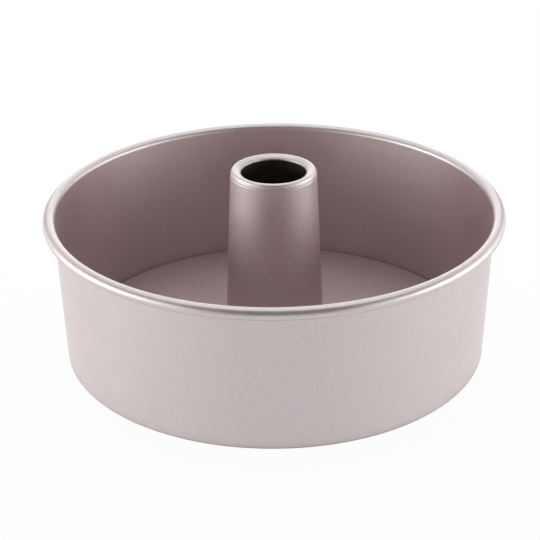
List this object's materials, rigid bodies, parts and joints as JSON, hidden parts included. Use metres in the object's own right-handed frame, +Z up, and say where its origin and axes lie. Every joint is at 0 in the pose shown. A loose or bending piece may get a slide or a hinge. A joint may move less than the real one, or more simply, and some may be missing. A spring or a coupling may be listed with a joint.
{
  "type": "angel food cake pan",
  "caption": "Round tube pan in coated sheet metal with a wired rolled rim; the flat floor and tall tapering centre tube lift out of the wall ring as one insert.",
  "frame": {"origin": "centre of the circle that the pan stands on, on the table", "axes": "+Z up along the pan's axis; the pan is turned about Z, so X and Y are any two level directions"},
  "size_m": [0.268, 0.268, 0.1112],
  "materials": {
    "coated_steel": "satin metallic non-stick coat, rose taupe with fine speckle",
    "wire_steel": "drawn wire"
  },
  "bodies": {
    "wall_ring": {"side_wall": "coated_steel", "rim_wire": "wire_steel"},
    "insert": {"base_plate": "coated_steel", "centre_tube": "coated_steel"}
  },
  "joints": [
    {"name": "insert_lift", "type": "slide", "parent": "wall_ring", "child": "insert", "axis": [0, 0, 1], "range_m": [0, 0.1]}
  ]
}
